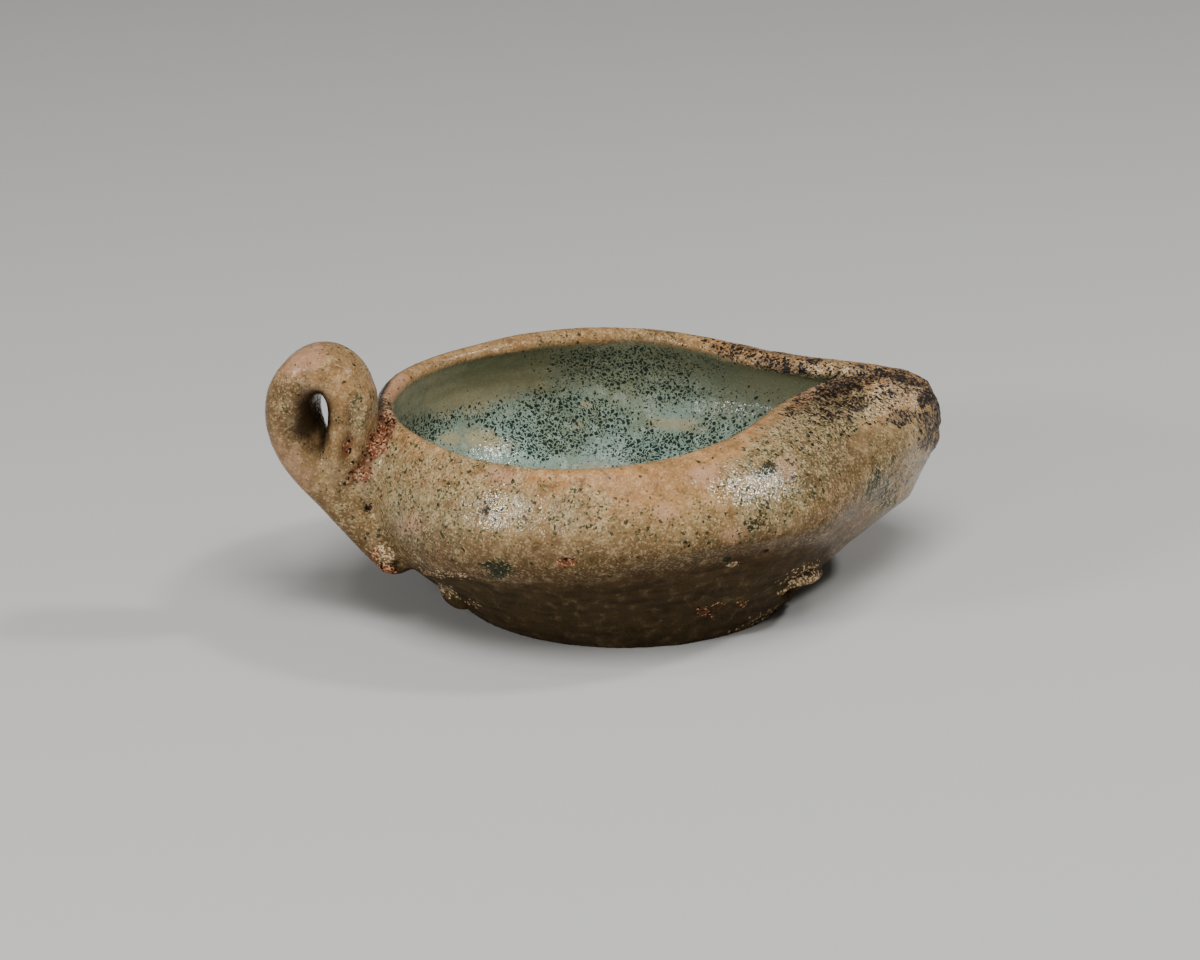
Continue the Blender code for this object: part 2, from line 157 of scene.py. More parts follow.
# Marks on the surface, by where they lie in the photograph: centre (px), half width and half
# height (px), tilt (degrees, clockwise), strength from 0 to 1
GREEN_FLECKS = {
    "left_shoulder": (470, 487, 74, 46, 8, 0.50),
    "left_front": (420, 515, 50, 42, 20, 0.55),
    "left_neck": (388, 470, 24, 40, 20, 0.50),
    "middle_streak": (575, 505, 34, 22, -20, 0.50),
    "below_middle": (620, 522, 60, 20, 0, 0.30),
    "right_shoulder": (775, 480, 48, 42, -30, 0.80),
    "right_band": (795, 442, 74, 26, -28, 0.95),
    "right_streak": (757, 522, 26, 14, -35, 0.60),
    "spout_side": (822, 456, 30, 26, -20, 0.60),
    "spout_green": (848, 406, 34, 18, -8, 1.0),
    "spout_patch": (878, 486, 15, 26, 0, 0.95),
    "spout_front": (905, 455, 36, 40, -60, 0.30),
    "handle_leg": (357, 412, 8, 26, 0, 0.85),
    "handle_foot": (362, 500, 30, 26, 40, 0.30),
    "handle_back": (292, 410, 10, 30, -8, 0.40),
    "loop_edge": (300, 385, 14, 8, -30, 0.40),
    "handle_top": (345, 352, 40, 16, 20, 0.12),
    "near_lip": (820, 410, 40, 12, -28, 0.75),
    "keel_blob": (498, 567, 15, 12, 0, 1.0),
}
# Brown marks, partly dirt and partly painted shade: on the handle's left side, the spout's side, the
# neck's crease and the leg's groove
BROWN_GRIME_AND_SHADE = {
    # Painted shade on the handle's left side
    "handle_left": (286, 425, 26, 62, -14, 1.0),
    "handle_foot": (330, 510, 44, 30, 42, 0.80),
    "handle_leg": (352, 430, 28, 46, 10, 0.65),
    "handle_top": (330, 352, 54, 30, 10, 0.45),
    "tail": (358, 540, 40, 22, 42, 0.65),
    "left_end": (400, 540, 30, 30, 40, 0.45),
    "left_belly": (478, 548, 84, 20, 6, 0.62),
    "middle_belly": (610, 548, 80, 13, 0, 0.30),
    # Painted shade on the spout's side
    "spout_side": (845, 466, 52, 36, -24, 0.95),
    "spout_flank": (850, 515, 60, 30, -42, 0.55),
    "near_lip": (838, 400, 44, 14, -14, 0.60),
    # Painted shade in the neck's crease
    "neck_crease": (790, 520, 40, 16, -30, 0.30),
    "back_rim": (620, 334, 120, 8, 3, 0.30),
    "back_rim_left": (490, 346, 100, 9, -14, 0.32),
    # Painted shade in the leg's groove
    "leg_groove": (349, 436, 4, 36, 2, 0.95),
}
DARK_GREEN = {
    "keel_blob": (498, 567, 12, 10, 0, 0.72),
    "streak_upper": (766, 472, 11, 9, -40, 0.70),
    "streak_lower": (755, 524, 12, 6, -40, 0.60),
    "spout_patch": (878, 486, 12, 20, 0, 0.50),
    "spout_green": (846, 404, 26, 12, -10, 0.34),
    "mid_fleck": (570, 502, 12, 3, -10, 0.60),
    "rib_fleck": (487, 511, 3, 8, 20, 0.50),
    "leg_fleck": (340, 421, 2, 3, 0, 0.80),
    "bump_fleck": (727, 559, 4, 3, 0, 0.80),
}
PINK_SPOTS = {
    "below_rim": (499, 477, 17, 10, 8, 0.85),
    "left_belly": (411, 524, 12, 9, 0, 0.75),
    "right_belly": (704, 476, 17, 9, -12, 0.75),
    "middle": (665, 512, 10, 8, 0, 0.80),
    "neck": (733, 536, 16, 8, -20, 0.40),
    "spout": (787, 468, 12, 12, -30, 0.55),
    "handle_left": (300, 352, 26, 20, -40, 0.70),
    "handle_top": (332, 335, 30, 9, 4, 0.50),
    "handle_low": (285, 465, 20, 30, -35, 0.45),
    "near_rim": (815, 392, 22, 5, -28, 0.60),
    # Painted light on the shaded inner rim by the handle
    "left_rim": (392, 394, 12, 32, 12, 0.75),
}
RED_CLAY = {
    "groove_upper": (387, 425, 9, 14, 22, 0.90),
    "groove_middle": (376, 445, 12, 16, 32, 1.0),
    "groove_lower": (363, 470, 10, 15, 28, 0.80),
    "leg_scratch": (347, 448, 4, 10, 8, 0.65),
    "leg_foot": (348, 480, 6, 9, 0, 0.45),
    "inner_foot": (324, 457, 4, 7, 0, 0.35),
    "keel_scar": (567, 562, 10, 5, 10, 0.75),
    "tail_break": (385, 570, 13, 5, 14, 0.90),
    "tail_side": (375, 556, 5, 7, 30, 0.60),
    "kiln_break": (797, 598, 20, 6, -35, 1.0),
    "kiln_crumbs": (786, 606, 14, 6, -28, 0.75),
    "base_spot_a": (704, 613, 9, 6, 0, 0.38),
    "base_spot_b": (719, 607, 6, 4, 0, 0.30),
    "lower_spot": (741, 603, 7, 4, 10, 0.34),
}
CREAM_CRUST = {
    "spout_top": (888, 394, 22, 14, -10, 0.66),
    "spout_low": (880, 408, 18, 9, -20, 0.55),
    "spout_front": (915, 398, 12, 14, 0, 0.50),
    "spout_edge": (856, 369, 14, 5, 4, 0.65),
    "far_lip": (818, 370, 22, 6, 4, 0.75),
    "far_rim": (780, 366, 30, 6, 10, 0.35),
    "tail_top": (386, 556, 12, 7, 5, 0.50),
    "kiln_ridge": (800, 581, 24, 3, -24, 0.75),
    "kiln_top": (797, 573, 18, 6, -28, 0.22),
    "kiln_line": (808, 567, 9, 2, -25, 0.60),
    "glaze_drip": (447, 592, 13, 6, 30, 0.34),
    "glaze_drip_small": (474, 606, 8, 4, 20, 0.24),
    "pale_bump": (733, 564, 5, 3, 0, 0.85),
    "far_rim_crumb": (502, 349, 12, 3, -5, 0.4),
    "base_edge": (757, 620, 22, 4, -24, 0.24),
    "leg_foot": (351, 478, 10, 12, 0, 0.30),
    "keel_left": (445, 573, 26, 4, 6, 0.30),
}
# Soot, with painted shade in the kiln scar's hollow and in the groove by the handle
SOOT_AND_SHADE = {
    "far_rim_start": (740, 352, 46, 7, 14, 0.45),
    "far_rim_middle": (782, 366, 24, 7, 12, 0.70),
    "far_rim_dot": (815, 362, 9, 3, 0, 1.0),
    "far_rim_end": (868, 369, 22, 5, 8, 0.60),
    "tip_edge": (900, 378, 34, 4, 16, 1.0),
    "near_lip_start": (805, 402, 22, 9, -28, 0.55),
    "near_lip": (842, 387, 30, 10, -8, 0.95),
    "near_green": (842, 405, 32, 14, -10, 0.55),
    # Painted shade in the kiln scar's hollow
    "kiln_cavity": (790, 596, 7, 5, -30, 1.0),
    "spout_side": (899, 418, 16, 8, -14, 0.60),
    "tip": (928, 428, 12, 20, 12, 0.55),
    "tip_low": (929, 437, 8, 10, 20, 0.60),
    "tip_top": (926, 397, 8, 10, 20, 1.0),
    "keel_dot": (687, 545, 5, 5, 0, 0.70),
    "drip_mark": (486, 512, 3, 7, 20, 0.50),
    # Painted shade in the groove between the handle and the bowl
    "groove_shade": (384, 406, 8, 8, 20, 0.45),
    "black_pit": (368, 508, 3, 3, 0, 1.0),
    "scratch": (765, 551, 4, 1.5, -40, 1.0),
}
ORANGE = {
    "near_rim": (560, 478, 150, 16, 0, 0.80),
    "left_rim": (425, 448, 40, 16, 22, 0.70),
    "right_rim": (740, 440, 60, 15, -26, 0.80),
    "middle": (640, 495, 80, 26, 0, 0.60),
    "neck": (790, 405, 36, 14, -38, 0.60),
    # Painted light on the shaded inner rim by the handle
    "left_inner_rim_painted_light": (392, 392, 12, 34, 12, 0.90),
    "back_rim": (480, 342, 90, 10, -12, 0.45),
    "handle_right": (365, 345, 16, 22, 30, 0.45),
    "spout_flank": (850, 510, 40, 36, -20, 0.25),
    "low_left": (430, 552, 46, 18, 10, 0.50),
}
INSIDE_DASHES = {
    "back_middle": (620, 366, 80, 26, 2, 0.80),
    "back_right": (663, 388, 40, 18, 5, 0.85),
    "middle": (575, 415, 80, 24, 4, 0.85),
    "front_left": (535, 438, 52, 20, 8, 1.0),
    "front_right": (655, 448, 60, 14, -6, 1.0),
    "far_left": (425, 430, 30, 18, 10, 1.0),
    "left_front_edge": (480, 460, 60, 7, 12, 0.9),
    "left_high": (475, 413, 46, 10, -6, 0.70),
    "right": (725, 425, 44, 22, -12, 0.65),
    "right_low": (690, 445, 50, 10, -14, 0.85),
    "right_high": (735, 398, 50, 14, -4, 0.40),
}
INSIDE_CLEAR = {
    "upper_left": (478, 383, 74, 22, -14, 1.0),
    "left_patch": (487, 441, 24, 9, 8, 1.0),
    "left_patch_small": (450, 438, 14, 7, 0, 0.9),
    "middle_patch": (675, 424, 26, 6, 4, 0.8),
    "dot": (587, 404, 6, 4, 0, 0.7),
    "dot_low": (577, 425, 6, 4, 0, 0.6),
    "floor_front": (590, 466, 20, 4, 0, 0.6),
    "right_wall": (775, 385, 46, 20, -10, 0.50),
    "right_low": (790, 418, 26, 22, -30, 0.6),
}

# Shaped marks, in the same terms, with the height (mm) instead of a strength
BUMPS = {
    "pale_bump": (731, 562, 7, 4, 0, 0.30),
    "keel_scar": (567, 561, 8, 4, 0, -0.25),
    "keel_scar_lip": (556, 565, 7, 3, 0, 0.20),
    "tail_hollow": (396, 566, 5, 4, 10, -1.3),
    "tail_ridge": (389, 556, 14, 5, 10, 0.5),
    "kiln_hollow": (792, 595, 10, 5, -30, -2.0),
    "kiln_hollow_long": (805, 590, 11, 3, -28, -1.1),
    "kiln_ridge": (799, 582, 24, 3, -24, 0.9),
    "kiln_ridge_upper": (806, 567, 14, 2.5, -25, 0.5),
    "kiln_crack": (806, 572, 9, 1.5, -25, -0.4),
    "tail_edge_lump": (333, 522, 7, 6, 45, 0.9),
    "black_pit": (368, 508, 3, 3, 0, -0.5),
    "base_spot": (704, 612, 6, 4, 0, -0.3),
    "neck_scratch": (763, 551, 5, 2, -35, -0.4),
    "groove": (372, 446, 4, 30, 32, -0.8),
    "leg_groove": (349, 436, 5, 36, 2, -1.20),
    "leg_edge": (336, 440, 4, 38, 0, 0.55),
    "leg_ridge": (364, 430, 6, 34, 8, 0.35),
    "tip_step": (928, 440, 10, 10, 20, 0.35),
}

# Grains of the glaze and the dark marks inside: their sizes, how far they are bent (size, amount), and
# for each layer of marks its size, the width of its seams and the threshold from which it shows
FINE_GRAIN = 0.31 * MM
COARSE_GRAIN = 0.54 * MM
GRAIN_WARP = (0.8 * MM, 0.3 * MM)
DASH_WARP = (1.6 * MM, 1.0 * MM)
DASH_LAYERS = ((0.85 * MM, 0.10, 0.64), (0.50 * MM, 0.13, 0.67))

# Sizes of the mottling, from broad to fine, and the span of the noise that is stretched to full range
BROAD_MOTTLE = 9.0 * MM
BROAD_MOTTLE_INSIDE = 8.0 * MM
SHINE_MOTTLE = 3.0 * MM
CLUMPS = 2.6 * MM
STREAKS = 2.5 * MM
STREAK_STRETCH = (0.35, 0.35, 2.0)
MOTTLE = 2.2 * MM
MOTTLE_INSIDE = 2.0 * MM
BLOTCHES = 1.8 * MM
PORES = 0.9 * MM
NOISE_SPAN = (0.35, 0.65)

# Bands by height: from the upper to the lower colour of the bare clay, which darkens towards the base as
# painted shade, and from the blue glaze on the floor to the olive one up the wall
BARE_HEIGHT = (20.0 * MM, 10.0 * MM)
OLIVE_HEIGHT = (15.0 * MM, 32.0 * MM)

# Roughness of the glaze, and what bare clay, the inside and crusts add to it
GLAZE_ROUGHNESS = (0.09, 0.21)
BARE_ADDS = 0.40
INSIDE_ADDS = -0.03
CRUST_ADDS = 0.55

# How strongly clean glaze mirrors, and the limits for the other surfaces
GLAZE_MIRROR = 0.5
BARE_MIRROR = 0.12
LOW_MIRROR = 0.04
INSIDE_MIRROR = 0.17
GRIME_AND_SHADE_MIRROR = 0.08

# Depth of the finest relief, and tilt of the tiny crystal faces
PEEL_DEPTH = 0.10 * MM
PEEL_STRENGTH = 0.9
PEEL_STRENGTH_INSIDE = 0.40
CRUMB_DEPTH = 0.45 * MM
CRUMB_SHARE = (0.04, 1.0)
FACET_TILT = 0.20
FACET_TILT_INSIDE = 0.14

# Lights: bearing from +X and height angle (degrees), distance, width and height (m), power (W), and
# whether the glaze mirrors them
LIGHTS = {
    "key": (-104.0, 60.0, 1.1, 0.60, 0.50, 11.3, False),
    "left": (-163.0, 21.0, 0.9, 0.13, 0.08, 2.8, True),
    "middle": (-134.0, 27.0, 0.9, 0.05, 0.05, 0.5, True),
    "right": (-15.0, 46.0, 0.9, 0.10, 0.07, 2.7, True),
    "overhead": (-100.0, 82.0, 1.2, 0.20, 0.12, 1.2, True),
}
LIGHT_AIM = (0.0, 0.0, 25.0 * MM)
ROOM_TONE = (215, 215, 215)
ROOM_STRENGTH = 0.15
FLOOR_TONE = (196, 195, 192)
FLOOR_ROUGHNESS = 0.9
FLOOR_REACH = 6.0

# Factors that scatter a grid cell's number and a seed into a random value, kept to 32 bits
CELL_FACTORS = (73856093, 19349663, 83492791)
SEED_FACTOR = 83492789
SCATTER_FACTOR = 73244475
LOW_BITS = 0xFFFFFFFF

# A cell of the glaze's grain: three random shares, the distance from its middle, its random colour
Grains = namedtuple("Grains", "first second third distance colour")


def camera_axes():
    """The camera's right, up and backward directions, and its place."""
    right = np.array([math.cos(CAMERA_AZIMUTH), math.sin(CAMERA_AZIMUTH), 0.0])
    level = math.cos(CAMERA_ELEVATION)
    back = np.array([math.sin(CAMERA_AZIMUTH) * level, -math.cos(CAMERA_AZIMUTH) * level,
                     math.sin(CAMERA_ELEVATION)])
    up = np.cross(back, right)
    scale = CAMERA_DISTANCE / FOCAL_LENGTH_PX
    place = (back * CAMERA_DISTANCE - right * (BASE_CENTRE_PX[0] - PHOTO_WIDTH / 2) * scale
             + up * (BASE_CENTRE_PX[1] - PHOTO_HEIGHT / 2) * scale)
    return right, up, back, place


def add_camera():
    """The camera, with the photograph's view."""
    right, up, back, place = camera_axes()
    data = bpy.data.cameras.new("camera")
    data.sensor_fit = "HORIZONTAL"
    data.sensor_width = SENSOR_WIDTH
    data.lens = FOCAL_LENGTH_PX / PHOTO_WIDTH * SENSOR_WIDTH
    data.clip_start = CAMERA_NEAR
    camera = bpy.data.objects.new("camera", data)
    bpy.context.scene.collection.objects.link(camera)
    camera.matrix_world = Matrix([[right[row], up[row], back[row], place[row]] for row in range(3)]
                                 + [[0.0, 0.0, 0.0, 1.0]])
    bpy.context.scene.camera = camera


def pixels_of(points):
    """Where points lie in the photograph, in its pixels."""
    right, up, back, place = camera_axes()
    away = points - place
    depth = -away @ back
    across = PHOTO_WIDTH / 2 + FOCAL_LENGTH_PX * (away @ right) / depth
    down = PHOTO_HEIGHT / 2 - FOCAL_LENGTH_PX * (away @ up) / depth
    return across, down


def seen_at(tree, across, down):
    """The surface point that a pixel of the photograph shows."""
    right, up, back, place = camera_axes()
    ray = (right * (across - PHOTO_WIDTH / 2) - up * (down - PHOTO_HEIGHT / 2)
           - back * FOCAL_LENGTH_PX)
    found = tree.ray_cast(Vector(place), Vector(ray).normalized())[0]
    return None if found is None else np.array(found)


def smooth_step(low, high, value):
    """0 at low and beyond, 1 at high and beyond, eased between them."""
    share = np.clip((value - low) / (high - low), 0.0, 1.0)
    return share * share * (3.0 - 2.0 * share)


def cell_random(cells, seed):
    """A repeatable random number from 0 to 1 for each cell of a grid."""
    value = seed * SEED_FACTOR
    for axis, factor in enumerate(CELL_FACTORS):
        value = value ^ cells[:, axis] * factor
    for _ in range(2):
        value = ((value >> 16) ^ value) * SCATTER_FACTOR & LOW_BITS
    return ((value >> 16) ^ value) / LOW_BITS


def grain(points, size, seed):
    """Smooth random unevenness from -1 to 1, with features about as large as size."""
    scaled = points / size
    cell = np.floor(scaled).astype(np.int64)
    part = scaled - cell
    part = part * part * (3.0 - 2.0 * part)
    total = np.zeros(len(points))
    for corner in range(8):
        step = np.array([corner & 1, corner >> 1 & 1, corner >> 2 & 1])
        weight = np.prod(np.where(step == 1, part, 1.0 - part), axis=1)
        total += weight * cell_random(cell + step, seed)
    return total * 2.0 - 1.0


def unevenness(points, layers, seed):
    """Smooth random unevenness in several layers, each with its size and depth."""
    return sum(depth * grain(points, size, seed + index) for index, (size, depth) in enumerate(layers))


def vertex_arrays(mesh):
    """The places and the normals of a mesh's vertices."""
    count = len(mesh.vertices)
    places = np.zeros(count * 3)
    normals = np.zeros(count * 3)
    mesh.vertices.foreach_get("co", places)
    mesh.vertices.foreach_get("normal", normals)
    return places.reshape(-1, 3), normals.reshape(-1, 3)


def move_vertices(mesh, places):
    """Put a mesh's vertices at new places."""
    mesh.vertices.foreach_set("co", places.astype(np.float32).ravel())
    mesh.update()


def fine_copy(node):
    """An even, fine mesh of the solid, to carry the relief."""
    piece = bpy.data.objects.new("glazed_lamp", node.data.copy())
    bpy.context.scene.collection.objects.link(piece)
    mesh = bmesh.new()
    mesh.from_mesh(piece.data)
    bmesh.ops.remove_doubles(mesh, verts=mesh.verts, dist=WELD_REACH)
    mesh.to_mesh(piece.data)
    mesh.free()
    remesh = piece.modifiers.new("even_mesh", "REMESH")
    remesh.mode = "VOXEL"
    remesh.voxel_size = COARSE_SIZE
    bpy.context.view_layer.update()
    data = bpy.data.meshes.new_from_object(piece.evaluated_get(bpy.context.evaluated_depsgraph_get()))
    piece.modifiers.clear()
    piece.data = data
    return piece


def soften(mesh, rounds, steps=SOFTEN_STEPS, share=None):
    """Take the solid's facets out, by default without shrinking it: each round moves in, then out."""
    places, _ = vertex_arrays(mesh)
    ends = np.zeros(len(mesh.edges) * 2, np.int64)
    mesh.edges.foreach_get("vertices", ends)
    first, second = ends.reshape(-1, 2).T
    both = np.concatenate([first, second])
    other = np.concatenate([second, first])
    degree = np.bincount(both, minlength=len(places))[:, None]
    on_base = places[:, 2] < BASE_REACH
    for _ in range(rounds):
        for amount in steps:
            total = [np.bincount(both, places[other, axis], len(places)) for axis in range(3)]
            step = (np.stack(total, 1) / degree - places) * amount
            step[on_base, 2] = 0.0
            if share is not None:
                step *= share[:, None]
            places = places + step
    move_vertices(mesh, places)


def inward_share(places, normals):
    """1 on the bowl's and the spout's inner surface, 0 outside, changing over at the rim's inner edge."""
    centre = np.stack([np.clip(places[:, 0], *INNER_LINE_AHEAD), np.zeros(len(places)),
                       np.full(len(places), INNER_LINE_HEIGHT)], 1)
    to_centre = centre - places
    to_centre /= np.linalg.norm(to_centre, axis=1, keepdims=True)
    facing = np.sum(normals * to_centre, axis=1)
    in_bowl = (places[:, 0] > INNER_BACK) & (places[:, 2] > INNER_BOTTOM)
    ahead, heights = np.array(INNER_EDGE).T
    edge = np.interp(places[:, 0], ahead, heights)
    edge += unevenness(places, INNER_EDGE_SWAY, INNER_EDGE_SEED)
    below_edge = smooth_step(INNER_EDGE_BLEND, -INNER_EDGE_BLEND, places[:, 2] - edge)
    return smooth_step(*INNER_FACING, facing) * in_bowl * below_edge


def patches(tree, places, marks, edge=CRISP):
    """The strongest of the marks at each vertex, with uneven edges."""
    across, down = pixels_of(places)
    pixel = CAMERA_DISTANCE / FOCAL_LENGTH_PX
    ragged = unevenness(places, MARK_RAGGED, MARK_SEED)
    total = np.zeros(len(places))
    for name, (x, y, wide, tall, tilt, strength) in marks.items():
        found = seen_at(tree, x, y)
        if found is None:
            print("mark off the lamp:", name)
            continue
        turn = math.radians(tilt)
        along = ((across - x) * math.cos(turn) + (down - y) * math.sin(turn)) / wide
        aside = ((down - y) * math.cos(turn) - (across - x) * math.sin(turn)) / tall
        radius = np.hypot(along, aside) + ragged
        reach = max(wide, tall) * pixel * MARK_REACH + MARK_MARGIN
        near = np.linalg.norm(places - found, axis=1) < reach
        value = strength * (1.0 - smooth_step(1.0 - edge, 1.0 + edge, radius)) * near
        total = np.where(np.abs(value) > np.abs(total), value, total)
    return total


def tree_of(mesh):
    """The mesh's faces, ready to be hit by the camera's rays."""
    places, _ = vertex_arrays(mesh)
    return BVHTree.FromPolygons(places.tolist(), [tuple(face.vertices) for face in mesh.polygons])


def glaze_edge_height(places):
    """Height of the glaze's ragged lower edge at each vertex's bearing."""
    bearing = np.degrees(np.arctan2(np.abs(places[:, 1]), places[:, 0]))
    stops, heights = np.array(GLAZE_EDGE).T
    return np.interp(bearing, stops, heights) + unevenness(places, GLAZE_EDGE_RAGGED, GLAZE_EDGE_SEED)


def loop_shade(places, normals):
    """How far each vertex lies on the inner side of the handle's loop, where shade is painted."""
    plane = np.array([[math.cos(LOOP_TURN), 0.0], [math.sin(LOOP_TURN), 0.0], [0.0, 1.0]])
    to_hole = (LOOP_CENTRE - places) @ plane
    away = np.linalg.norm(to_hole, axis=1)
    facing = np.sum((normals @ plane) * to_hole, axis=1) / np.maximum(away, 1e-6)
    facing = facing + unevenness(places, LOOP_SHADE_UNEVEN, LOOP_SEED)
    near = smooth_step(*LOOP_SHADE_REACH, away)
    return LOOP_SHADE_STRENGTH * near * smooth_step(*LOOP_SHADE_FACING, facing)


def surface_fields(mesh, tree):
    """The masks that the relief and the material use, one value for each vertex."""
    places, normals = vertex_arrays(mesh)
    inside = inward_share(places, normals)
    outside = 1.0 - inside
    over_edge = places[:, 2] - glaze_edge_height(places)
    above_edge = smooth_step(*GLAZE_BLEND, over_edge)
    patchy = 0.5 + 0.5 * grain(places, PATCH_SIZE, PATCH_SEED)
    fields = {"inside": inside, "glazed": np.maximum(above_edge, inside)}
    # Painted shade: the glaze darkens towards its lower edge
    fields["low"] = smooth_step(*SHADE_BAND_OVER_EDGE, over_edge) * outside
    scattered = SCATTERED_STRENGTH * smooth_step(*SCATTERED_FROM, patchy) * above_edge
    fields["flecks"] = np.maximum(patches(tree, places, GREEN_FLECKS), scattered) * outside
    fields["dark_green"] = patches(tree, places, DARK_GREEN) * outside
    # Brown marks: dirt, and painted shade on shaded sides and in creases
    fields["grime_and_shade"] = patches(tree, places, BROWN_GRIME_AND_SHADE, SOFTER) * outside
    fields["pink"] = patches(tree, places, PINK_SPOTS) * outside
    fields["clay"] = patches(tree, places, RED_CLAY) * outside
    fields["cream"] = patches(tree, places, CREAM_CRUST) * outside
    far_lip = smooth_step(*SOOT_AHEAD, places[:, 0]) * smooth_step(*SOOT_HEIGHT, places[:, 2])
    sooty = far_lip * (SOOT_STRENGTH + unevenness(places, SOOT_UNEVEN, SOOT_SEED))
    tip = smooth_step(*SOOT_TIP_AHEAD, places[:, 0]) * SOOT_TIP_STRENGTH
    # Soot, and painted shade in two hollows
    soot = np.maximum(patches(tree, places, SOOT_AND_SHADE), np.maximum(sooty, tip))
    fields["soot"] = soot * (1.0 - SOOT_LESS_INSIDE * inside)
    near_rim = smooth_step(*ORANGE_HEIGHT, places[:, 2]) * ORANGE_STRENGTH
    fields["orange"] = np.maximum(patches(tree, places, ORANGE, SOFT), near_rim) * outside
    on_floor = smooth_step(*FLOOR_DASHES_HEIGHT, places[:, 2]) * smooth_step(*FLOOR_DASHES_FROM, patchy)
    dashes = np.maximum(patches(tree, places, INSIDE_DASHES, SOFT), FLOOR_DASHES_STRENGTH * on_floor)
    fields["dashes"] = dashes * inside
    fields["clear"] = patches(tree, places, INSIDE_CLEAR, SOFT) * inside
    # Painted shade inside the handle's loop
    fields["loop"] = loop_shade(places, normals)
    rough = np.maximum(fields["clay"], fields["cream"])
    fields["rough"] = np.clip(np.maximum(rough, fields["soot"] * outside), 0.0, 1.0)
    return fields


def refine(mesh, chosen):
    """Split the faces round the chosen vertices in four."""
    work = bmesh.new()
    work.from_mesh(mesh)
    work.verts.ensure_lookup_table()
    edges = [edge for edge in work.edges if all(chosen[end.index] for end in edge.verts)]
    bmesh.ops.subdivide_edges(work, edges=edges, cuts=1, use_grid_fill=True)
    work.to_mesh(mesh)
    work.free()
    mesh.update()


def add_relief(mesh, tree, fields):
    """Throwing rings, uneven clay, the glaze's lower edge, crusts, hollows and lumps."""
    places, normals = vertex_arrays(mesh)
    height = unevenness(places, UNEVEN_CLAY, CLAY_SEED)
    wave = places[:, 2] + unevenness(places, THROWN_RING_SWAY, RING_SEED)
    rings = np.sin(wave * 2.0 * math.pi / THROWN_RING_PITCH)
    on_wall = 1.0 - np.abs(normals[:, 2])
    off_handle = places[:, 0] > THROWN_RINGS_BACK
    height += THROWN_RING_DEPTH * rings * on_wall * off_handle
    height += GLAZE_EDGE_STEP * fields["glazed"]
    height += unevenness(places, ROUGH_CRUST, CRUST_SEED) * fields["rough"]
    height += patches(tree, places, BUMPS, SOFTER) * MM
    height *= smooth_step(0.0, RELIEF_FULL_FROM, places[:, 2])
    move_vertices(mesh, places + normals * height[:, None])


def store_fields(mesh, fields):
    """Keep the masks on the mesh, for the material."""
    for name, values in fields.items():
        attribute = mesh.attributes.new(name, "FLOAT", "POINT")
        attribute.data.foreach_set("value", values.astype(np.float32))


def tone(red, green, blue):
    """A colour as the eye sees it, 0 to 255, in the linear values that a shader takes."""
    shares = [channel / 255.0 for channel in (red, green, blue)]
    return tuple(s / 12.92 if s <= 0.04045 else ((s + 0.055) / 1.055) ** 2.4 for s in shares) + (1.0,)


